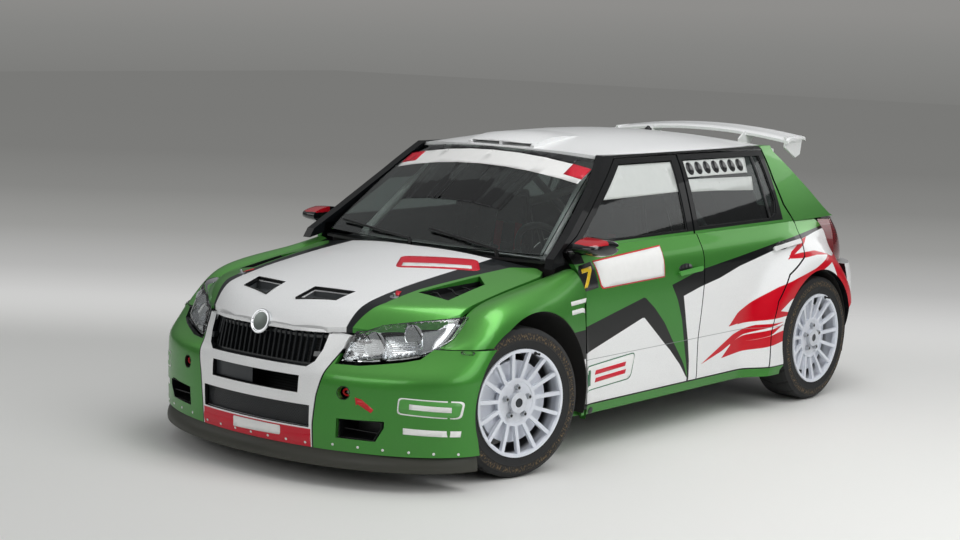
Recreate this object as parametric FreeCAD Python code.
import FreeCAD, Part
import math
import os

# Rally car. Millimetres, +Z up, ground at z = 0, the nose toward -Y, the car's left side toward +X.
# Bodywork is drawn on the left side and mirrored, unless it crosses the middle.

V = FreeCAD.Vector
X_AXIS = V(1, 0, 0)
Z_AXIS = V(0, 0, 1)

# ---- sizes of the whole car ----
WHEELBASE = 2486.0
FRONT_OVERHANG = 770.0
REAR_OVERHANG = 740.0
LENGTH = FRONT_OVERHANG + WHEELBASE + REAR_OVERHANG
NOSE_Y = -LENGTH / 2
TAIL_Y = LENGTH / 2
FRONT_AXLE_Y = NOSE_Y + FRONT_OVERHANG
REAR_AXLE_Y = TAIL_Y - REAR_OVERHANG
HALF_BODY = 823.0
HALF_FLARE = HALF_BODY + 85.0
SHUT_GAP = 5.0
PANEL = 30.0

# ---- wheels ----
TYRE_RADIUS = 325.0
TYRE_WIDTH = 205.0
RIM_RADIUS = 247.5
WHEEL_CENTRE_X = HALF_BODY - 31.0
HUB_BORE = 45.0
SPOKES = 15
REST_STEER_DEG = 12.0
DISC_RADIUS = 178.0
DISC_THICKNESS = 30.0
SEAT_CLEARANCE = 0.1

# ---- arches ----
ARCH_RADIUS = TYRE_RADIUS + 25.0
HOUSING_WALL = 4.0
HOUSING_INNER_X = WHEEL_CENTRE_X - 252.0

# ---- heights of the body side ----
SILL_Z = 178.0
DOOR_BOTTOM_Z = 228.0
BELT_Z = 930.0

# ---- greenhouse ----
ROOF_HALF = HALF_BODY - 245.0
HEADER_Y = -357.0
ROOF_REAR_Y = 1330.0
ROOF_SHEET = 22.0
TAILGATE_GAP = 7.0
GLASS = 5.0
WHEEL_TILT_DEG = 24.0


# ---- small helpers ----
def box(x0, x1, y0, y1, z0, z1):
    """A box between pairs of limits."""
    return Part.makeBox(x1 - x0, y1 - y0, z1 - z0, V(x0, y0, z0))


def tube(start, end, radius):
    """A round bar from one point to another."""
    along = end - start
    return Part.makeCylinder(radius, along.Length, start, along)


def ring(start, end, outer, inner):
    """A round bar with a hole along its middle."""
    return tube(start, end, outer).cut(tube(start, end, inner))


def prism(points, push):
    """A flat closed outline pushed along a vector."""
    return Part.Face(Part.makePolygon(points + [points[0]])).extrude(push)


def side_prism(outline, x0, x1):
    """An outline of (y, z) pairs pushed across the car from x0 to x1."""
    return prism([V(x0, y, z) for y, z in outline], V(x1 - x0, 0, 0))


def plan_prism(outline, z0, z1):
    """An outline of (x, y) pairs pushed up from z0 to z1."""
    return prism([V(x, y, z0) for x, y in outline], V(0, 0, z1 - z0))


def front_prism(outline, y0, y1):
    """An outline of (x, z) pairs pushed along the car from y0 to y1."""
    return prism([V(x, y0, z) for x, z in outline], V(0, y1 - y0, 0))


def slab(rows, push):
    """A smooth face through rows of points, pushed along a vector into a panel."""
    face = Part.BSplineSurface()
    face.interpolate(rows)
    return face.toShape().extrude(push)


def knots(count):
    """Knots and how often each counts, for a smooth net of this many rows."""
    inner = list(range(1, count - 3))
    return [0] + inner + [count - 3], [4] + [1] * len(inner) + [4]


def net(rows, straight=False):
    """A smooth face drawn over a net of points, or a straight band between two lines of it."""
    face = Part.BSplineSurface()
    across, across_counts = knots(len(rows[0]))
    if straight:
        face.buildFromPolesMultsKnots(rows, [2, 2], across_counts, [0, 1], across, False, False, 1, 3)
    else:
        along, along_counts = knots(len(rows))
        face.buildFromPolesMultsKnots(rows, along_counts, across_counts, along, across, False, False, 3, 3)
    return face.toShape()


def sunk(rows, depth):
    """The same net moved in by a depth, square to the face at each point."""
    inner = []
    for i, row in enumerate(rows):
        line = []
        for j, point in enumerate(row):
            down = rows[min(i + 1, len(rows) - 1)][j] - rows[max(i - 1, 0)][j]
            over = row[min(j + 1, len(row) - 1)] - row[max(j - 1, 0)]
            square = down.cross(over)
            line.append(point + square * (depth / square.Length))
        inner.append(line)
    return inner


def shell(rows, depth):
    """A panel of even thickness under a net of points."""
    return between_nets(rows, sunk(rows, depth))


def between_nets(rows, inner):
    """The closed solid between two nets of points of one size."""
    faces = [net(rows), net(inner)]
    for end in (0, -1):
        faces.append(net([rows[end], inner[end]], True))
        faces.append(net([[row[end] for row in rows], [row[end] for row in inner]], True))
    panel = Part.Shell(faces)
    panel.sewShape()
    panel = Part.Solid(panel)
    if panel.Volume < 0:
        panel.reverse()
    return panel


def mirrored(shape):
    """The same shape on the other side of the car."""
    return shape.mirror(V(0, 0, 0), X_AXIS)


def both(shape):
    """A shape and its mirror image, as two solids."""
    return Part.makeCompound(solids(shape) + solids(mirrored(shape)))


def solids(shape):
    """The solids of a shape, leaving out slivers under a cubic centimetre."""
    return [solid for solid in shape.Solids if solid.Volume > 1000.0]


def joined(shapes):
    """One shape from several that meet or cross."""
    first = shapes[0]
    for other in shapes[1:]:
        first = first.fuse(other)
    return first.removeSplitter()


def between(table, place):
    """The value at a place on a line of (place, value) rows, smooth from row to row."""
    if place <= table[0][0]:
        return table[0][1]
    for (a, low), (b, high) in zip(table, table[1:]):
        if place <= b:
            share = (place - a) / (b - a)
            return low + (high - low) * share
    return table[-1][1]


def fade(value):
    """From 0 to 1 with a soft start and a soft end."""
    value = max(0.0, min(1.0, value))
    return value * value * (3 - 2 * value)


def steps(start, end, count):
    """Evenly spaced places from start to end."""
    return [start + (end - start) * i / (count - 1) for i in range(count)]


# ---- the skin of the body side ----
# height z, half width x
LOWER_SECTION = [(178, -22), (235, -10), (330, -14), (430, -16), (560, -6), (690, 0), (790, -5), (860, -18),
                 (930, -64)]
UPPER_SECTION = [(850, 51), (915, 66), (1000, 94), (1100, 133), (1200, 177), (1290, 224), (1325, 247)]


def bulge(y, z):
    """How far the wheel flares push the skin out at a place on the side."""
    out = 0.0
    for axle, centre_z, inner, outer, stretch in ((FRONT_AXLE_Y, 345.0, 390.0, 520.0, 0.9),
                                                  (REAR_AXLE_Y, 345.0, 372.0, 540.0, 0.85)):
        inward = (y - axle) if axle < 0 else (axle - y)
        if inward > 0:
            inward = inward * stretch
        radius = math.hypot(inward, max(0.0, z - centre_z))
        out = max(out, 1.0 - fade((radius - inner) / (outer - inner)))
    return out * (HALF_FLARE - HALF_BODY)


def taper(y):
    """How much narrower the body is toward its two ends."""
    return 70.0 * fade((-y - 1000.0) / 900.0) + 70.0 * fade((y - 900.0) / 1000.0)


def side_x(y, z):
    """Half width of the body side below the belt."""
    base = HALF_BODY + between(LOWER_SECTION, z) - taper(y) * (0.35 + 0.65 * fade((z - 500.0) / 400.0))
    flare = bulge(y, z)
    return base + flare * (1.0 + 0.35 * taper(y) / 70.0)


def glass_x(y, z):
    """Half width of the side of the greenhouse."""
    return HALF_BODY - between(UPPER_SECTION, z) - 45.0 * fade((y - 1000.0) / 900.0)


SKIN_PITCH = 36.0


def side_skin(y0, y1, z0, z1, depth=PANEL):
    """A panel of the lower side, its outer face on the skin."""
    across = steps(y0, y1, 4 + round((y1 - y0) / SKIN_PITCH))
    up = steps(z0, z1, 4 + round((z1 - z0) / SKIN_PITCH))
    rows = [[V(side_x(y, z), y, z) for y in across] for z in up]
    inner = [[point - V(depth, 0, 0) for point in row] for row in rows]
    return between_nets(rows, inner)


def upper_skin(y0, y1, across, up, depth=PANEL, inset=0.0, foot=915.0):
    """A panel of the upper side, its outer face on the skin or set in from it."""
    rows = [[V(glass_x(y, z) - inset, y, z) for y in steps(y0, y1, across)] for z in steps(foot, 1325.0, up)]
    return slab(rows, V(-depth, 0, 0))


ARCH_TOE_IN = 28.0
ARCH_FOOT_Z = 150.0


def wheel_well(rounds, shrink=0.0, floor_z=0.0):
    """The space of a wheel arch from its rounds of (y, z, radius), open at the bottom."""
    pieces = []
    for y, z, radius in rounds:
        centre = V(HOUSING_INNER_X, y, z)
        radius = radius - shrink
        pieces.append(tube(centre, centre + V(500, 0, 0), radius))
        foot = radius - ARCH_TOE_IN
        pieces.append(side_prism([(y - radius, z), (y - foot, ARCH_FOOT_Z), (y - foot, floor_z),
                                  (y + foot, floor_z),
                                  (y + foot, ARCH_FOOT_Z), (y + radius, z)], HOUSING_INNER_X,
                                  HOUSING_INNER_X + 500))
    return joined(pieces)


FRONT_ROUNDS = [(FRONT_AXLE_Y, TYRE_RADIUS, ARCH_RADIUS),
                (FRONT_AXLE_Y + 78.0, TYRE_RADIUS, ARCH_RADIUS + 35.0)]
REAR_ROUNDS = [(REAR_AXLE_Y, TYRE_RADIUS + 15.0, ARCH_RADIUS)]
front_well = wheel_well(FRONT_ROUNDS)
rear_well = wheel_well(REAR_ROUNDS)
os.makedirs("parts", exist_ok=True)
saved = {}


def save(name, shape):
    """Write one node as a STEP file and keep its shape."""
    shape.exportStep("parts/" + name + ".step")
    saved[name] = shape


# ---- outlines of the doors, as (y, z) ----
FRONT_DOOR_LOW = [(-675, DOOR_BOTTOM_Z), (-675, 425), (-700, 600), (-715, 735), (-755, 815), (-798, 923),
                  (-778, 935),
                  (261, 935), (233, DOOR_BOTTOM_Z)]
FRONT_DOOR_HIGH = [(-800, 925), (-675, 985), (-520, 1090), (-400, 1175), (-205, 1307), (312, 1307),
                   (255, 925)]
FRONT_WINDOW = [(-669, 955), (-504, 1067), (-384, 1152), (-192, 1282), (256, 1282), (212, 955)]
REAR_DOOR_LOW = [(240, DOOR_BOTTOM_Z), (268, 935), (1212, 935), (1221, 922), (1205, 850),
                 (1130, 770), (960, 690), (850, 560), (800, 400), (790, DOOR_BOTTOM_Z)]
REAR_DOOR_HIGH = [(268, 925), (325, 1307), (1112, 1300), (1118, 1150), (1150, 1020), (1225, 925)]
REAR_WINDOW = [(312, 962), (352, 1282), (1068, 1276), (1075, 1140), (1085, 1050), (1060, 985), (1010, 962)]


# ---- doors ----
def door(low, high, window, y0, y1):
    """A door with its window frame, hollow at the window."""
    low_panel = side_skin(y0, y1, SILL_Z, BELT_Z + 5).common(side_prism(low, 500, 1000))
    high_panel = upper_skin(y0, y1, 6, 7, PANEL, 3.0).common(side_prism(high, 400, 900))
    panel = low_panel.fuse(high_panel)
    return panel.cut(side_prism(window, 400, 1000))


def pane(window, y0, y1, inset):
    """A thin pane that fills a window opening."""
    sheet = upper_skin(y0, y1, 6, 7, GLASS, inset)
    return sheet.common(side_prism(window, 400, 1000))


front_door = door(FRONT_DOOR_LOW, FRONT_DOOR_HIGH, FRONT_WINDOW, -830, 330)
rear_door = door(REAR_DOOR_LOW, REAR_DOOR_HIGH, REAR_WINDOW, 225, 1240)
front_pane = pane(FRONT_WINDOW, -830, 330, 12.0)
rear_pane = pane(REAR_WINDOW, 225, 1240, 12.0)
save("door_front_left", front_door)
save("door_front_right", mirrored(front_door))
save("door_rear_left", rear_door)
save("door_rear_right", mirrored(rear_door))
save("door_glass_front_left", front_pane)
save("door_glass_front_right", mirrored(front_pane))
save("door_glass_rear_left", rear_pane)
save("door_glass_rear_right", mirrored(rear_pane))

# ---- fixed side of the body: sill, pillars, roof rail, quarter ----
A_PILLAR = [(-905, 856), (-885, 900), (-735, 992), (-585, 1095), (-462, 1182), (-285, 1322), (-190, 1322),
            (-208, 1313),
            (-404, 1181), (-524, 1096), (-680, 991), (-812, 928), (-808, 876)]
C_PILLAR = [(1122.3, 1322), (1124, 1300), (1131, 1155), (1162, 1025), (1228, 934.3), (1690, 934.3),
            (1660, 945),
            (1601, 987), (1483, 1086), (1368, 1178), (1235, 1290), (1228, 1322)]
QUARTER = [(797, SILL_Z), (797, 228), (806, 400), (856, 556), (965, 684), (1134, 764), (1211, 846),
           (1231, 932),
           (1468, 932), (1512, 908), (1543, 866), (1576, 757), (1582, 700), (1612, 560), (1618, 480),
           (1450, 330), (1100, 330), (900, 200), (900, SILL_Z)]
B_PILLAR_Y = (215.0, 290.0)
SILL_Y = (-745.0, 797.0)

sill = side_skin(SILL_Y[0], SILL_Y[1], SILL_Z, DOOR_BOTTOM_Z - SHUT_GAP)
sill = joined([sill, box(690, 790, SILL_Y[0], SILL_Y[1], SILL_Z, DOOR_BOTTOM_Z - SHUT_GAP),
               box(690, 765, SILL_Y[0], SILL_Y[1], SILL_Z, 300)])
b_pillar = front_prism([(695, 290), (760, 290), (710, 930), (552, 1290), (543, 1318), (500, 1318),
                        (655, 930)], *B_PILLAR_Y)
rail = front_prism([(500, 1272), (545, 1272), (545, 1318), (500, 1318)], -250, 1225)
roof_edge = upper_skin(-300, 1260, 9, 7, 60).common(side_prism([(-262, 1313), (1121.5, 1313), (1121.5, 1322),
                                                                (-262, 1322)], 400, 700))
a_pillar = upper_skin(-910, -180, 7, 8, 45, foot=850.0).common(side_prism(A_PILLAR, 400, 900))
a_foot = box(690, 738, -800, -745, SILL_Z, 800)
quarter = side_skin(790, 1640, SILL_Z, BELT_Z + 4).common(side_prism(QUARTER, 500,
                                                                             1000)).cut(rear_well)
c_pillar = upper_skin(1100, 1760, 7, 7, 45).common(side_prism(C_PILLAR, 400, 900))
body_side = joined([sill, b_pillar, rail, roof_edge, a_pillar, a_foot, quarter, c_pillar])
save("body_side_left", body_side)
save("body_side_right", mirrored(body_side))

# ---- roof ----
ROOF_MIDDLE = [(-357, 1334), (-200, 1366), (100, 1396), (400, 1402), (800, 1390), (1100, 1362), (1330, 1330)]
ROOF_SIDE = [(-300, 1310), (100, 1318), (700, 1317), (1100, 1310), (1330, 1292)]


def roof_z(x, y):
    """Height of the roof skin."""
    side = between(ROOF_SIDE, y)
    return side + (between(ROOF_MIDDLE, y) - side) * (1 - abs(x / ROOF_HALF) ** 2.4)


def roof_rear_y(x):
    """Rear edge of the roof, which the tailgate follows."""
    return ROOF_REAR_Y - 75.0 * (x / 620.0) ** 2


def skin_rows(height, x_half, y0, y1, across, up):
    """Rows of points on a skin that is a height over the plan."""
    return [[V(x, y, height(x, y)) for x in steps(-x_half, x_half, across)] for y in steps(y0, y1, up)]


roof_plan = [(x, HEADER_Y + 85 * (x / 547.0) ** 2) for x in steps(-ROOF_HALF, ROOF_HALF, 9)]
roof_plan += [(x, roof_rear_y(x) - TAILGATE_GAP) for x in steps(ROOF_HALF, -ROOF_HALF, 9)]
roof = slab(skin_rows(roof_z, ROOF_HALF, -360, 1335, 9, 9),
            V(0, 0, -ROOF_SHEET)).common(plan_prism(roof_plan, 1200, 1450))
over_doors = box(545.3, 700, -262, 1121.5, 1200, 1313)
roof = roof.cut(body_side).cut(mirrored(body_side)).cut(over_doors).cut(mirrored(over_doors))

# ---- roof scoop ----
SCOOP_Y = (-338.0, 60.0)
SCOOP_HALF = 205.0


def scoop_z(x, y):
    """Height of the scoop over the roof, high in front and running out to the rear."""
    return between([(-338, 1362), (-300, 1380), (-150, 1402), (60, 1397)], y) - 14 * (x / SCOOP_HALF) ** 2


scoop = slab(skin_rows(scoop_z, SCOOP_HALF, SCOOP_Y[0], SCOOP_Y[1], 5, 6), V(0, 0, -80))
scoop = scoop.cut(box(-185, -8, -400, -230, 1341, 1356)).cut(box(8, 185, -400, -230, 1341, 1356))
roof = joined([roof, scoop])
save("roof", roof)

# ---- windscreen ----
SCREEN_ROWS = [(-930, 905, 655, 100, 0), (-745, 1058, 622, 98, 8), (-555, 1205, 585, 92, 18),
               (-361, 1331, 545, 85, 30)]


def screen_rows():
    """Rows of points on the outer face of the windscreen, from base to header."""
    rows = []
    for y, z, half, sweep, drop in SCREEN_ROWS:
        rows.append([V(x, y + sweep * (x / half) ** 2, z - drop * (x / half) ** 2) for x in steps(-half,
                                                                                                  half, 9)])
    return rows


windscreen = slab(screen_rows(), V(0, 4, -5)).cut(roof).cut(body_side).cut(mirrored(body_side))
save("windscreen",
     windscreen.Solids[0] if len(windscreen.Solids) == 1 else Part.makeCompound(solids(windscreen)))

# ---- bonnet ----
BONNET_MIDDLE = [(-1925, 645), (-1885, 692), (-1800, 744), (-1690, 784), (-1500, 827), (-1200, 866),
                 (-950, 893), (-850, 900)]
BONNET_SIDE = [(-1925, 640), (-1700, 690), (-1500, 724), (-1200, 777), (-915, 815), (-850, 835)]
BONNET_SHEET = 22.0
BONNET_HALF = HALF_BODY - 88.0
BONNET_REAR_Y = -861.0
BONNET_UNDER_GAP = 9.0


BONNET_PLAN = [(0, -1925), (180, -1908), (330, -1858), (480, -1775), (600, -1680), (690, -1578), (732, -1480),
               (722, -1204), (712, -912), (692, -872), (651, BONNET_REAR_Y), (400, -915), (0, -945)]
# how far the front edge turns down, at each distance from the middle
BONNET_DROP = [(0, 4), (120, 8), (262, 34), (345, 50), (480, 70), (600, 54), (690, 36), (735, 26)]
BONNET_ROLL = 95.0


def bonnet_front_y(x):
    """Where the front edge of the bonnet is at a distance from the middle."""
    return between(BONNET_PLAN[:7], abs(x))


def bonnet_z(x, y):
    """Height of the bonnet skin, which rolls down along its front edge."""
    side = between(BONNET_SIDE, y)
    height = side + (between(BONNET_MIDDLE, y) - side) * (1 - abs(x / BONNET_HALF) ** 2.2)
    behind = (y - bonnet_front_y(x)) / BONNET_ROLL
    return height - between(BONNET_DROP, abs(x)) * max(0.0, 1 - behind) ** 2


def bonnet_rows(raised):
    """Rows of points on the bonnet from its front edge to its rear edge."""
    rows = []
    for share in (-0.02, 0.0, 0.02, 0.045, 0.08, 0.13, 0.22, 0.35, 0.5, 0.65, 0.8, 0.92, 1.03):
        row = []
        for x in steps(-BONNET_HALF - 15, BONNET_HALF + 15, 19):
            front = bonnet_front_y(x)
            y = front + share * (BONNET_REAR_Y - front)
            row.append(V(x, y, bonnet_z(x, y) + raised))
        rows.append(row)
    return rows


bonnet_plan = BONNET_PLAN + [(-x, y) for x, y in BONNET_PLAN[-2:0:-1]]
bonnet = between_nets(bonnet_rows(0.0), bonnet_rows(-BONNET_SHEET)).common(plan_prism(bonnet_plan, 500, 1000))
VENT_FRONT = [(88, -1812), (89, -1692), (297, -1655), (281, -1761)]
VENT_SIDE = [(504, -1492), (639, -1452), (628, -1195), (552, -1140)]
for vent in (VENT_FRONT, VENT_SIDE):
    for sign in (1, -1):
        bonnet = bonnet.cut(plan_prism([(sign * x, y) for x, y in vent], 500, 1000))
BONNET_SPACE = [(0, -1936), (186, -1918), (340, -1866), (488, -1783), (607, -1686), (697, -1582),
                (739, -1484),
                (728, -1204), (718, -908), (698, -866), (653, -855), (398, -908), (0, -938)]
bonnet_space = plan_prism(BONNET_SPACE + [(-x, y) for x, y in BONNET_SPACE[-2:0:-1]], 500, 1000)
bonnet_room = between_nets(bonnet_rows(30.0),
                           bonnet_rows(-BONNET_SHEET - BONNET_UNDER_GAP)).common(bonnet_space)
save("bonnet", bonnet)

# ---- headlamps ----
LAMP_ROWS = [[(411, -1846, 514), (508, -1792, 514), (585, -1752, 525), (655, -1712, 536), (712, -1668, 552),
              (746, -1580, 598), (744, -1500, 660)],
             [(418, -1830, 560), (512, -1776, 566), (592, -1732, 576), (662, -1690, 586), (716, -1638, 600),
              (748, -1560, 634), (746, -1485, 678)],
             [(424, -1806, 606), (516, -1752, 622), (598, -1702, 632), (664, -1656, 642), (716, -1604, 654),
              (746, -1534, 672), (744, -1476, 690)],
             [(440, -1778, 638), (520, -1728, 658), (598, -1676, 672), (660, -1626, 682), (708, -1580, 690),
              (738, -1520, 696), (742, -1466, 698)]]
lamp = shell([[V(*point) for point in row] for row in reversed(LAMP_ROWS)], 26.0)
lamp_space = plan_prism([(340, -1925), (430, -1925), (660, -1790), (752, -1660), (752, -1462), (700, -1462),
                         (560, -1600), (340, -1760)], 560, 800)
LAMP_OPENING = [(404, 508), (508, 508), (585, 519), (655, 530), (718, 546), (752, 592), (752, 760),
                (452, 760), (434, 640), (418, 606)]
lamp_low = front_prism(LAMP_OPENING, -1930, -1400)

# ---- front wings ----
# along y: then (x, z) of bonnet edge, crest, shoulder, lip, and three places down the side
WING_SECTIONS = [(-1640, (750, 586), (770, 585), (790, 583), (800, 572), (804, 540), (802, 400), (796, 200)),
                 (-1575, (750, 604), (786, 607), (822, 604), (852, 594), (874, 560), (884, 400), (880, 200)),
                 (-1520, (748, 652), (790, 655), (836, 649), (872, 626), (892, 575), (900, 400), (892, 200)),
                 (-1466, (745, 703), (794, 708), (848, 694), (890, 654), (905, 590), (907, 400), (900, 200)),
                 (-1390, (740, 742), (800, 758), (862, 740), (900, 690), (908, 600), (908, 420), (900, 200)),
                 (-1228, (734, 772), (803, 790), (866, 768), (905, 712), (912, 610), (910, 420), (902, 200)),
                 (-1050, (728, 796), (802, 814), (860, 782), (896, 712), (906, 610), (904, 420), (894, 200)),
                 (-900, (722, 816), (792, 838), (838, 792), (870, 708), (886, 600), (888, 420), (880, 200)),
                 (-700, (716, 846), (776, 885), (808, 845), (826, 765), (852, 620), (864, 420), (862, 200))]
SEAM_Z = 585.0
WING_WALL = 18.0
WING_SIDE = [(-1700, SEAM_Z + 3), (-1400, SEAM_Z + 3), (-1228, 400), (-900, 200), (-761, 200), (-761, 690),
             (-726, 735),
             (-766, 819), (-820, 940), (-1000, 960), (-1760, 760)]
wing = shell([[V(x, row[0], z) for x, z in row[1:]] for row in WING_SECTIONS], WING_WALL)
wing = wing.common(side_prism(WING_SIDE, 500, 1000)).cut(front_well)
wing = wing.cut(bonnet_space).cut(lamp_space).cut(bonnet_room)
wing = Part.makeCompound(solids(wing))
save("front_wings", both(wing))

# ---- ends of the car: shells bowed in plan ----
def end_solid(levels, y_back, sign, inset):
    """A closed solid over plan curves (z, tip, half width, roundness), toward -Y or +Y by the sign."""
    wires = []
    for z, tip, half, power in levels:
        points = []
        for angle in steps(-90, 90, 13):
            s = math.sin(math.radians(angle))
            c = max(0.0, math.cos(math.radians(angle)))
            x = (half - inset) * math.copysign(abs(s) ** (2 / power), s)
            points.append(V(x, sign * (y_back + (tip - inset - y_back) * c ** (2 / power)), z))
        curve = Part.BSplineCurve()
        curve.interpolate(points)
        wires.append(Part.Wire([curve.toShape(), Part.makeLine(points[-1], points[0])]))
    return Part.makeLoft(wires, True, False)


# ---- front bumper ----
NOSE_BACK_Y = -1500.0
BUMPER_WALL = 18.0
BUMPER_BOTTOM_Z = 152.0
NOSE_X = [0, 90, 180, 262, 345, 425, 508, 585, 655, 715, 775, 830, 872, 898]


def nose_y(x, tip):
    """How far forward the bumper reaches at a distance from the middle."""
    return NOSE_BACK_Y + (tip - NOSE_BACK_Y) * math.sqrt(max(0.0, 1 - (x / HALF_FLARE) ** 2))


# height, reach at the middle
NOSE_ROUNDS = [(BUMPER_BOTTOM_Z, -1955), (235, -1963), (330, -1964), (410, -1962), (452, -1958), (478, -1945)]
# the shelf under the lamp: (y, z) at each x of NOSE_X and at the arch
NOSE_SHELF = [(-1938, 500), (-1937, 500), (-1933, 500), (-1922, 500), (-1888, 506), (-1846, 512),
              (-1795, 516), (-1754, 522),
              (-1712, 534), (-1672, 548), (-1625, 562), (-1578, 574), (-1535, 580), (-1500, SEAM_Z)]
NOSE_TOP = [(-1912, 640), (-1911, 640), (-1906, 640), (-1890, 638), (-1836, 634), (-1800, 616), (-1752, 606),
            (-1712, 606),
            (-1676, 606), (-1640, 610), (-1595, 618), (-1548, 624), (-1505, 628), (-1470, 632)]
half_rows = [[V(x, nose_y(x, tip), z) for x in NOSE_X] + [V(HALF_FLARE, -1500, z),
                                                          V(HALF_FLARE, -1440, z)] for z, tip in NOSE_ROUNDS]
half_rows.append([V(x, y, z) for x, (y, z) in zip(NOSE_X, NOSE_SHELF)] + [V(906, -1470, SEAM_Z),
                                                                          V(HALF_FLARE, -1430, SEAM_Z)])
half_rows.append([V(x, y, z) for x, (y, z) in zip(NOSE_X, NOSE_TOP)] + [V(904, -1440, 634),
                                                                        V(904, -1410, 634)])
nose_rows = [[V(-point.x, point.y, point.z) for point in reversed(row[1:])] + row for row in half_rows]
nose_rows.reverse()
nose_full = shell(nose_rows, BUMPER_WALL)
above_seam = side_prism([(-1735, SEAM_Z), (-1300, SEAM_Z), (-1300, 720), (-1735, 720)], 730, 1000)
GRILLE = [(346, 628), (338, 560), (318, 510), (286, 486), (-286, 486), (-318, 510), (-338, 560), (-346, 628)]
LOWER_MESH = [(320, 328), (318, 234), (-318, 234), (-320, 328)]
SLOT = [(262, 447), (260, 375), (-260, 375), (-262, 447)]
INTAKE = [(448, 289), (647, 294), (645, 266), (612, 207), (443, 207)]
TOW_HOLE = (476, 398, 26)
nose = nose_full.cut(front_well).cut(mirrored(front_well)).cut(box(-1000, 1000, -2100, -1300, 100,
                                                                   BUMPER_BOTTOM_Z))
tow = tube(V(TOW_HOLE[0], -2000, TOW_HOLE[1]), V(TOW_HOLE[0], -1700, TOW_HOLE[1]), TOW_HOLE[2])
for cutter in (above_seam, lamp_low, front_prism(INTAKE, -2000, -1650), tow):
    nose = nose.cut(cutter).cut(mirrored(cutter))
for cutter in (bonnet_room, front_prism(GRILLE, -2000, -1700), front_prism(SLOT, -2000, -1700),
               front_prism(LOWER_MESH, -2000, -1700)):
    nose = nose.cut(cutter)
LIP_Z = 226.0
lip_rows = [[V(x, nose_y(x, -1957) - out, z) for x in (-325, -220, -110, 0, 110, 220, 325)]
            for z, out in ((LIP_Z, -4), (222, 6), (205, 14), (180, 15), (160, 10), (BUMPER_BOTTOM_Z, -4))]
chin = shell(lip_rows, 8.0).cut(box(-1000, 1000, -2100, -1300, 100, BUMPER_BOTTOM_Z))
nose = Part.makeCompound(solids(nose.fuse(chin)))
save("front_bumper", nose)
lamp = lamp.cut(nose).cut(wing).cut(bonnet_room)
lamp = max(lamp.Solids, key=lambda solid: solid.Volume)
save("headlamps", both(lamp))

# ---- splitter, grille, rear bumper ----
SPLITTER_LEVELS = [(84, 1998, 914, 2.1), (112, 1998, 914, 2.1), (BUMPER_BOTTOM_Z - 2.0, 1974, 906, 2.05)]
splitter = end_solid(SPLITTER_LEVELS, 1470.0, -1, 0.0).cut(box(-1000, 1000, -1500, 0, 0, 300)).cut(box(-560,
                                                                                                       560,
                                                                                                       -1790,
                                                                                                       0, 0,
                                                                                                       300))
splitter = splitter.cut(box(-780, 780, -1680, 0, 0, 300))
splitter = splitter.fuse(box(-560, 560, -1800, -1620, 100, 112)).removeSplitter()
splitter = splitter.cut(front_well).cut(mirrored(front_well))
save("splitter", splitter)

GRILLE_BARS = 24
shelf_y = [(at, y + 4) for at, (y, z) in zip(NOSE_X, NOSE_SHELF)]
crown_y = [(at, y + 8) for at, (y, z) in zip(NOSE_X, NOSE_TOP)]


def grille_rail(line, half, z0, z1):
    """A bar across the grille that follows the nose and carries the upright bars."""
    front = [(x, between(line, abs(x)) - 2) for x in steps(-half, half, 15)]
    return plan_prism(front + [(x, y + 24) for x, y in reversed(front)], z0, z1)


bars = [grille_rail(shelf_y, 340, 482, 498), grille_rail(crown_y, 365, 600, 612)]
for x in steps(-333, 333, GRILLE_BARS):
    low_y = between(shelf_y, abs(x))
    high_y = between(crown_y, abs(x))
    bar = prism([V(x - 4, low_y, 484), V(x - 4, high_y, 632), V(x - 4, high_y + 18, 632),
                 V(x - 4, low_y + 18, 484)], V(8, 0, 0))
    bars.append(bar.common(front_prism(GRILLE, -2000, -1700)))
for side in (-1, 1):
    bars.append(nose_full.common(box(min(side * 305, side * 345), max(side * 305, side * 345), -2000, -1700,
                                     530, 550)))
grille = joined(bars)
mesh_front = [(x, nose_y(x, -1953)) for x in steps(-335, 335, 15)]
lower_mesh = plan_prism(mesh_front + [(x, y + 10) for x, y in reversed(mesh_front)], 224, 338)
grille = Part.makeCompound(solids(grille.cut(nose).cut(bonnet_room)) + solids(lower_mesh.cut(nose)))
save("grille", grille)

TAIL_LEVELS = [(245, 1925, 800, 2.3), (330, 1975, 850, 2.3), (480, 1998, 872, 2.3), (600, 1996, 868, 2.3),
               (690, 1960, 856, 2.3)]
tail = end_solid(TAIL_LEVELS, 1560.0, 1, 0.0).cut(end_solid(TAIL_LEVELS, 1400.0, 1, BUMPER_WALL))
tail = tail.cut(side_prism([(1550, 200), (1550, 720), (1588, 720), (1588, 700), (1618, 560), (1624, 480),
                            (1680, 470), (1680, 200)], 500, 1000))
tail = tail.cut(mirrored(side_prism([(1550, 200), (1550, 720), (1588, 720), (1588, 700), (1618, 560),
                                     (1624, 480), (1680, 470), (1680, 200)], 500, 1000)))
tail = tail.cut(rear_well).cut(mirrored(rear_well)).cut(tube(V(330, 1800, 262), V(330, 2100, 262), 46))
SHELF = [(680, 1960, 856, 2.3), (688, 1960, 856, 2.3)]
tail = tail.fuse(end_solid(SHELF, 1560.0, 1, 8.0).cut(box(-1000, 1000, 0, 1790, 600, 700)).cut(box(-2000,
                                                                                                   -640, 0,
                                                                                                   1830, 600,
                                                                                                   700)).cut(box(640, 2000, 0, 1830, 600, 700)))
tail = Part.makeCompound(solids(tail.removeSplitter()))
save("rear_bumper", tail)

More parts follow.
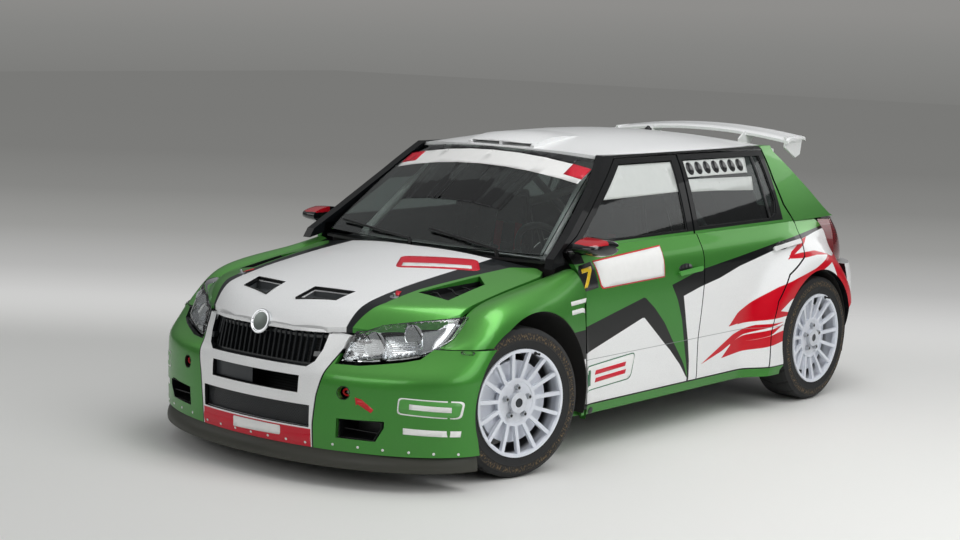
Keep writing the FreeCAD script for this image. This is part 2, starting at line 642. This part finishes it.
# ---- tailgate with its glass ----
# height, how far back the middle is, half width of the panel
TAILGATE_ROWS = [(1322, 1328), (1250, 1392), (1178, 1456), (1086, 1560), (987, 1678), (930, 1752),
                 (880, 1822), (800, 1862), (696, 1872)]
TAILGATE_OUTLINE = [(540, 1340), (542, 1290), (582, 1178), (618, 1086), (648, 987), (660, 940), (630, 880),
                    (622, 697)]
REAR_GLASS = [(505, 1252), (532, 1178), (568, 1086), (598, 990), (590, 962), (560, 950)]
tailgate_rows = [[V(x, y - 75.0 * (x / 620.0) ** 2,
                    z - (10.0 if z > 1300 else 0.0) * (x / 620.0) ** 2) for x in steps(-680, 680, 9)] for z,
                    y in TAILGATE_ROWS]


def whole_width(outline):
    """An outline of the left half closed by its mirror image."""
    return outline + [(-x, z) for x, z in reversed(outline)]


tailgate = slab(tailgate_rows, V(0, -PANEL, 0)).common(front_prism(whole_width(TAILGATE_OUTLINE), 1100, 2000))
glass_hole = front_prism(whole_width(REAR_GLASS), 1100, 2000)
tailgate = tailgate.cut(glass_hole)
roof_side_of_gap = [(x, roof_rear_y(x)) for x in steps(-700, 700, 15)] + [(700, 1000), (-700, 1000)]
tailgate = tailgate.cut(plan_prism(roof_side_of_gap, 1200, 1500))
back_roof = slab(skin_rows(roof_z, ROOF_HALF, 1150, 1345, 9, 6), V(0, 0, 60))
tailgate = tailgate.cut(back_roof)
tailgate_glass = slab([[point + V(0, -8, 0) for point in row] for row in tailgate_rows],
                      V(0, -6, 0)).common(glass_hole)
tailgate = tailgate.cut(body_side).cut(mirrored(body_side)).cut(tail)
save("tailgate", Part.makeCompound(solids(tailgate)))
save("tailgate_glass", tailgate_glass)

# ---- tail lamps: the corner between quarter, tailgate and bumper ----
# y along the side, then across the corner: (x, y) at three heights
CORNER_ROWS = [[(800, 1560), (790, 1640), (755, 1715), (690, 1768), (630, 1790)],
               [(792, 1560), (780, 1635), (742, 1700), (690, 1752), (632, 1775)],
               [(762, 1560), (745, 1610), (720, 1655), (700, 1690), (668, 1715)]]
CORNER_Z = (700.0, 830.0, 925.0)
corner = slab([[V(x, y, z) for x, y in row] for row, z in zip(CORNER_ROWS, CORNER_Z)], V(-45, -45, 0))
tail_lamp = corner.cut(quarter).cut(c_pillar).cut(tailgate).cut(tail)
TAILGATE_SPACE = front_prism(whole_width([(545, 1340), (548, 1290), (588, 1178), (624, 1086), (654, 987),
                                          (667, 940), (637, 880), (629, 690)]), 1100, 2000)
tail_lamp = tail_lamp.cut(TAILGATE_SPACE)
save("tail_lamps", Part.makeCompound(solids(tail_lamp) + solids(mirrored(tail_lamp))))

# ---- rear wing ----
WING_HALF = 578.0
blade_rows = [(1410, 1384), (1455, 1398), (1515, 1402), (1575, 1404), (1590, 1396)]
blade = slab([[V(x, y, z - 46.0 * (x / WING_HALF) ** 2) for x in steps(-WING_HALF, WING_HALF, 7)] for y,
              z in blade_rows], V(0, 0, -14))
end_plate = side_prism([(1412, 1300), (1412, 1360), (1575, 1364), (1586, 1350), (1566, 1262), (1520, 1246)],
                       WING_HALF - 30, WING_HALF - 18)
strut = side_prism([(1350, 1262), (1320, 1322), (1400, 1374), (1520, 1378), (1420, 1262)], 300, 308)
rear_wing = joined([blade, end_plate, mirrored(end_plate), strut,
                    mirrored(strut)]).cut(tailgate).cut(back_roof).cut(tailgate_glass)
rear_wing = Part.makeCompound(solids(rear_wing))
save("rear_wing", rear_wing)

# ---- cowl ----
cowl = plan_prism([(0, -935), (400, -905), (660, -850), (680, -800), (-680, -800), (-660, -850),
                   (-400, -905)], 868, 880)
cowl = cowl.cut(windscreen).cut(bonnet_room).cut(body_side).cut(mirrored(body_side)).cut(wing).cut(mirrored(wing))
save("cowl", Part.makeCompound(solids(cowl)))

# ---- wheels ----


def spun(profile):
    """A closed outline of (x, radius) pairs turned round the wheel axis through the origin."""
    face = Part.Face(Part.makePolygon([V(x, 0, r) for x, r in profile + [profile[0]]]))
    return face.revolve(V(0, 0, 0), X_AXIS, 360)


half_tyre = TYRE_WIDTH / 2
tyre = spun([(-half_tyre + 8, RIM_RADIUS - 12), (-half_tyre, RIM_RADIUS + 22),
             (-half_tyre + 3, TYRE_RADIUS - 22),
             (-half_tyre + 16, TYRE_RADIUS - 4), (-half_tyre + 34, TYRE_RADIUS),
             (half_tyre - 34, TYRE_RADIUS),
             (half_tyre - 16, TYRE_RADIUS - 4), (half_tyre - 3, TYRE_RADIUS - 22),
             (half_tyre, RIM_RADIUS + 22),
             (half_tyre - 8, RIM_RADIUS - 12), (half_tyre - 22, RIM_RADIUS - 12),
             (half_tyre - 22, RIM_RADIUS + 2),
             (-half_tyre + 22, RIM_RADIUS + 2), (-half_tyre + 22, RIM_RADIUS - 12)])
rim_in = half_tyre - 22.5
barrel = spun([(-rim_in, RIM_RADIUS - 16), (-rim_in, RIM_RADIUS + 1.5), (rim_in, RIM_RADIUS + 1.5),
               (rim_in, RIM_RADIUS - 16)])
lip = spun([(rim_in - 6, RIM_RADIUS - 26), (rim_in - 6, RIM_RADIUS - 13), (half_tyre - 2, RIM_RADIUS - 13),
            (half_tyre - 2, RIM_RADIUS - 26)])
back_lip = mirrored(lip)
spoke = joined([
    spun([(50, 40), (50, 92), (66, 92), (66, 40)]).common(box(0, 100, -300, 300, -300, 300)),
    spun([(52, 90), (68, 90), (half_tyre - 4, RIM_RADIUS - 20), (half_tyre - 22, RIM_RADIUS - 20)])])
slot_outer = 2 * math.pi * (RIM_RADIUS - 30) / SPOKES / 2 - 8
slot_inner = 2 * math.pi * 104 / SPOKES / 2 - 8
slots = []
for i in range(SPOKES):
    slot = prism([V(0, -slot_inner, 104), V(0, slot_inner, 104), V(0, slot_outer, RIM_RADIUS - 30),
                  V(0, -slot_outer, RIM_RADIUS - 30)], V(150, 0, 0))
    slots.append(slot.rotate(V(0, 0, 0), X_AXIS, i * 360.0 / SPOKES))
wheel_face = spoke.cut(Part.makeCompound(slots))
wheel_face = wheel_face.cut(tube(V(0, 0, 0), V(150, 0, 0), HUB_BORE))
HUB_RADIUS = 30.0
AXLE_RADIUS = 20.0
DISC_X = 24.0
hub = ring(V(DISC_X - 2, 0, 0), V(88, 0, 0), HUB_RADIUS + 14.5, AXLE_RADIUS + SEAT_CLEARANCE)
flange = ring(V(44, 0, 0), V(50.5, 0, 0), 88, 40)
disc = ring(V(DISC_X, 0, 0), V(DISC_X + DISC_THICKNESS - 12, 0, 0), DISC_RADIUS, 40)
rim = joined([barrel, lip, back_lip, wheel_face, hub, flange, disc])


def wheel_place(shape, side, axle_y, steer):
    """A wheel piece made at the origin, set at its corner of the car."""
    piece = shape.copy()
    if side < 0:
        piece = mirrored(piece)
    piece.rotate(V(0, 0, 0), Z_AXIS, steer)
    piece.translate(V(side * WHEEL_CENTRE_X, axle_y, TYRE_RADIUS))
    return piece


CORNERS = [("front_left", 1, FRONT_AXLE_Y, -REST_STEER_DEG),
           ("front_right", -1, FRONT_AXLE_Y, -REST_STEER_DEG),
           ("rear_left", 1, REAR_AXLE_Y, 0.0), ("rear_right", -1, REAR_AXLE_Y, 0.0)]
for name, side, axle_y, steer in CORNERS:
    save("tyre_" + name, wheel_place(tyre, side, axle_y, steer))
    save("rim_" + name, wheel_place(rim, side, axle_y, steer))

# ---- knuckles and stub axles ----
BALL_Z = 118.0
PIN_RADIUS = 9.0
ARM_THICK = 16.0
stub_axle = tube(V(-14, 0, 0), V(86, 0, 0), AXLE_RADIUS)
upright = box(-24, 12, -26, 26, -BALL_Z, BALL_Z)
knuckle = joined([upright, stub_axle,
                  tube(V(0, 0, -BALL_Z - ARM_THICK - 8), V(0, 0, -BALL_Z), PIN_RADIUS),
                  tube(V(0, 0, BALL_Z), V(0, 0, BALL_Z + ARM_THICK + 8), PIN_RADIUS)])
caliper = joined([box(DISC_X - 18, DISC_X - 6, 60, 150, 20, 90), box(-24, DISC_X - 6, 20, 70, 20, 50)])
knuckle = joined([knuckle, caliper])
for name, side, axle_y, steer in CORNERS[:2]:
    save("knuckle_" + name, wheel_place(knuckle, side, axle_y, steer))

# ---- front suspension, rear suspension ----
ARM_Y = 165.0


def arm(x_in, axle_y, z, z_in):
    """A pair of bars from the frame to a pin ring at the knuckle."""
    top = V(WHEEL_CENTRE_X, axle_y, z)
    eye = ring(top, top + V(0, 0, ARM_THICK), 17, PIN_RADIUS + SEAT_CLEARANCE)
    bar = box(WHEEL_CENTRE_X - 110, WHEEL_CENTRE_X - 12, axle_y - 13, axle_y + 13, z, z + ARM_THICK)
    parts = [bar.cut(tube(top, top + V(0, 0, ARM_THICK), PIN_RADIUS + SEAT_CLEARANCE)), eye]
    for way in (-1, 1):
        parts.append(tube(V(x_in, axle_y + way * ARM_Y, z_in),
                          V(WHEEL_CENTRE_X - 100, axle_y, z + ARM_THICK / 2), 13))
    return joined(parts)


FRAME_X = 385.0
low_z = TYRE_RADIUS - BALL_Z - ARM_THICK - 0.3
high_z = TYRE_RADIUS + BALL_Z + 0.3
strut_top = V(560, FRONT_AXLE_Y, 745)
front_side = joined([arm(FRAME_X, FRONT_AXLE_Y, low_z, 225), arm(FRAME_X, FRONT_AXLE_Y, high_z, 440),
                     box(FRAME_X - 30, FRAME_X + 20, FRONT_AXLE_Y - 200, FRONT_AXLE_Y + 200, 205, 245),
                     box(FRAME_X - 30, FRAME_X + 20, FRONT_AXLE_Y - 200, FRONT_AXLE_Y + 200, 415, 465),
                     tube(V(645, FRONT_AXLE_Y, 455), strut_top, 26)])
front_cross = box(-FRAME_X - 20, FRAME_X + 20, FRONT_AXLE_Y - 60, FRONT_AXLE_Y + 60, 205, 235)
front_suspension = joined([front_side, mirrored(front_side), front_cross])
shaft = tube(V(240, FRONT_AXLE_Y, 330), V(WHEEL_CENTRE_X - 52, FRONT_AXLE_Y, TYRE_RADIUS), 17)
front_suspension = front_suspension.cut(tube(V(100, FRONT_AXLE_Y, 330),
                                             V(WHEEL_CENTRE_X, FRONT_AXLE_Y, TYRE_RADIUS), 28))
engine = joined([box(-250, 190, -1640, -1330, 330, 745), box(-240, 240, -1330, -1130, 262, 400)])
shaft = shaft.cut(engine)
save("front_suspension", Part.makeCompound(front_suspension.Solids + [shaft, mirrored(shaft)]))

rear_side = joined([arm(FRAME_X, REAR_AXLE_Y, low_z, 225), arm(FRAME_X, REAR_AXLE_Y, high_z, 440),
                    box(FRAME_X - 30, FRAME_X + 20, REAR_AXLE_Y - 200, REAR_AXLE_Y + 200, 205, 245),
                    box(FRAME_X - 30, FRAME_X + 20, REAR_AXLE_Y - 200, REAR_AXLE_Y + 200, 415, 465),
                    tube(V(645, REAR_AXLE_Y, 455), V(575, REAR_AXLE_Y, 740), 26)])
rear_cross = box(-FRAME_X - 20, FRAME_X + 20, REAR_AXLE_Y - 60, REAR_AXLE_Y + 60, 205, 235)
rear_case = box(-110, 110, REAR_AXLE_Y - 110, REAR_AXLE_Y + 110, 236, 400)
rear_shaft = tube(V(110, REAR_AXLE_Y, TYRE_RADIUS), V(WHEEL_CENTRE_X - 24, REAR_AXLE_Y, TYRE_RADIUS), 17)
rear_suspension = joined([rear_side, mirrored(rear_side), rear_cross, rear_case, rear_shaft,
                          mirrored(rear_shaft)])
rear_knuckle = wheel_place(knuckle, 1, REAR_AXLE_Y, 0)
rear_suspension = joined([rear_suspension, rear_knuckle, mirrored(rear_knuckle)])
save("rear_suspension", rear_suspension)

# ---- engine, gearbox and shafts ----
save("engine", engine)
radiator = box(-330, 330, -1800, -1745, 240, 640).fuse(box(-399.8, 399.8, -1790, -1765, 470, 500))
save("radiator", radiator)

# ---- frame rails, floor, bulkhead ----
rail_front = box(400, 455, -1900, -775, 465.2, 490).cut(nose)
rail_front = max(rail_front.Solids, key=lambda solid: solid.Volume)
floor = joined([box(-690, 690, -770, 820, SILL_Z, SILL_Z + 8), box(-470, 470, 820, 1850, 465.2, 473),
                box(-470, 470, 812, 820, SILL_Z, 473), box(-140, 140, -770, 820, SILL_Z, SILL_Z + 130),
                box(-690, 690, -778, -770, SILL_Z, 868), rail_front, mirrored(rail_front),
                box(470, 480, 812, 1960, 465.2, 640), box(-480, -470, 812, 1960, 465.2, 640)]).cut(tail)
floor = max(floor.Solids, key=lambda solid: solid.Volume)
save("floor_pan", floor)

# ---- wheel housings ----
def housing(rounds, outer):
    """A round sheet over a wheel."""
    tub = wheel_well(rounds, 0.5).cut(wheel_well(rounds, HOUSING_WALL))
    return tub.common(box(HOUSING_INNER_X, outer, -2000, 2000, TYRE_RADIUS - 110, 900))


tubs = housing(FRONT_ROUNDS, 880).fuse(housing(REAR_ROUNDS, 870))
for other in (body_side, wing, nose, bonnet_room, lamp, tail, rear_door, floor, front_side, rear_side):
    tubs = tubs.cut(other)
save("wheel_housings", both(tubs))

# ---- cage ----
CAGE_R = 20.0
CAGE = [((560, -690, 186.2), (560, -690, 880)), ((560, -690, 880), (470, -230, 1262)),
        ((640, 330, 186.2), (600, 330, 900)),
        ((600, 330, 900), (480, 330, 1262)), ((480, -230, 1262), (480, 330, 1262)),
        ((480, 330, 1262), (430, 1080, 700))]
CAGE_CROSS = [((-480, -230, 1262), (480, -230, 1262)), ((-480, 330, 1262), (480, 330, 1262)),
              ((-600, 330, 900), (480, 330, 1262)),
              ((-570, -690, 850), (570, -690, 850))]
CAGE_GAP = 0.3
cage_lines = []
for start, end in CAGE:
    cage_lines.append((V(*start), V(*end)))
    cage_lines.append((V(-start[0], start[1], start[2]), V(-end[0], end[1], end[2])))
cage_lines = cage_lines + [(V(*start), V(*end)) for start, end in CAGE_CROSS]
roll_cage = []
for number, (start, end) in enumerate(cage_lines):
    bar = tube(start, end, CAGE_R)
    for other_start, other_end in cage_lines[:number]:
        bar = bar.cut(tube(other_start, other_end, CAGE_R + CAGE_GAP))
    for other in (body_side, mirrored(body_side), floor, roof):
        bar = bar.cut(other)
    roll_cage = roll_cage + sorted(solids(bar), key=lambda piece: -piece.Volume)[:1]
roll_cage = Part.makeCompound(roll_cage)
save("roll_cage", Part.makeCompound(solids(roll_cage)))

# ---- seats ----
SEAT_X = 360.0
SEAT_Y = -40.0
seat_base = box(SEAT_X - 200, SEAT_X + 200, SEAT_Y - 260, SEAT_Y + 200, 290, 400)
seat_back = side_prism([(SEAT_Y + 90, 400), (SEAT_Y + 205, 400), (SEAT_Y + 300, 1080), (SEAT_Y + 215, 1080)],
                       SEAT_X - 210, SEAT_X + 210)
seat_wing = side_prism([(SEAT_Y - 250, 400), (SEAT_Y + 190, 400), (SEAT_Y + 250, 820), (SEAT_Y + 100, 800),
                        (SEAT_Y + 20, 470), (SEAT_Y - 250, 460)], 0, 35)
seat = joined([seat_base, seat_back, seat_wing.copy().translated(V(SEAT_X - 220, 0, 0)),
               seat_wing.copy().translated(V(SEAT_X + 185, 0, 0)),
               box(SEAT_X - 170, SEAT_X - 140, SEAT_Y - 230, SEAT_Y + 180, SILL_Z + 8, 290),
               box(SEAT_X + 140, SEAT_X + 170, SEAT_Y - 230, SEAT_Y + 180, SILL_Z + 8, 290)])
save("seats", Part.makeCompound([seat, mirrored(seat)]))

# ---- dashboard and steering wheel ----
dash = side_prism([(-765, 700), (-765, 862), (-640, 872), (-520, 850), (-500, 800), (-560, 700)], -640, 640)
dash = dash.cut(roll_cage).cut(body_side).cut(mirrored(body_side)).cut(front_door).cut(mirrored(front_door))
column_end = V(SEAT_X, -470, 812)
WHEEL_AXIS = V(0, math.cos(math.radians(WHEEL_TILT_DEG)), math.sin(math.radians(WHEEL_TILT_DEG)))
column = tube(column_end - WHEEL_AXIS * 110, column_end, 24)
dash = joined([dash, column])
save("dashboard", Part.makeCompound(solids(dash)))
hub_start = column_end + WHEEL_AXIS * 0.5
wheel_centre = column_end + WHEEL_AXIS * 60
steering = Part.makeTorus(165, 15, wheel_centre, WHEEL_AXIS)
steering = joined([steering, tube(hub_start, wheel_centre, 26)] +
                  [tube(wheel_centre, wheel_centre + V(dx, 0, 0) + WHEEL_AXIS.cross(X_AXIS) * up, 11) for dx,
                   up in ((158, 20), (-158, 20), (0, -158))])
save("steering_wheel", steering)

# ---- door mirrors ----
mirror_body = front_prism([(824, 924), (896, 920), (914, 936), (916, 966), (900, 984), (846, 986),
                           (824, 970)], -805, -608)
mirror_plan = plan_prism([(820, -606), (820, -700), (838, -772), (872, -804), (900, -784), (917, -720),
                          (917, -606)], 900, 1000)
mirror_foot = front_prism([(745, 908), (832, 916), (832, 934), (735, 940)], -732, -684)
mirror = joined([mirror_body.common(mirror_plan), mirror_foot]).cut(front_door).cut(wing)

save("mirror_left", Part.makeCompound(solids(mirror)))
save("mirror_right", mirrored(Part.makeCompound(solids(mirror))))

# ---- wipers, exhaust, sump guard ----
def wiper_arm(points):
    """A wiper: its spindle, then the arm and blade along the foot of the screen."""
    bars = [tube(points[0], points[1], 9)]
    for near, far in zip(points[1:], points[2:]):
        bars.append(tube(near, far, 6))
    return joined(bars)


wiper = wiper_arm([V(-50, -921, 880.3), V(-52, -926, 920), V(-290, -892, 938), V(-585, -812, 954)])
wiper2 = wiper_arm([V(440, -884, 880.3), V(438, -889, 913), V(280, -892, 938), V(25, -876, 970)])
save("wipers", Part.makeCompound([wiper.cut(windscreen).cut(cowl), wiper2.cut(windscreen).cut(cowl)]))
PIPE_Z = SILL_Z - 30.3
exhaust = joined([tube(V(0, -985, PIPE_Z), V(0, 1400, PIPE_Z), 30),
                  tube(V(0, 1400, PIPE_Z), V(330, 1680, 262), 30),
                  ring(V(330, 1670, 262), V(330, 1960, 262), 38, 33),
                  tube(V(0, -985, PIPE_Z), V(0, -1125, 300), 30)]).cut(engine)
save("exhaust", exhaust)
save("sump_guard", box(-400, 400, -1640, -1160, 196.8, 204.8))
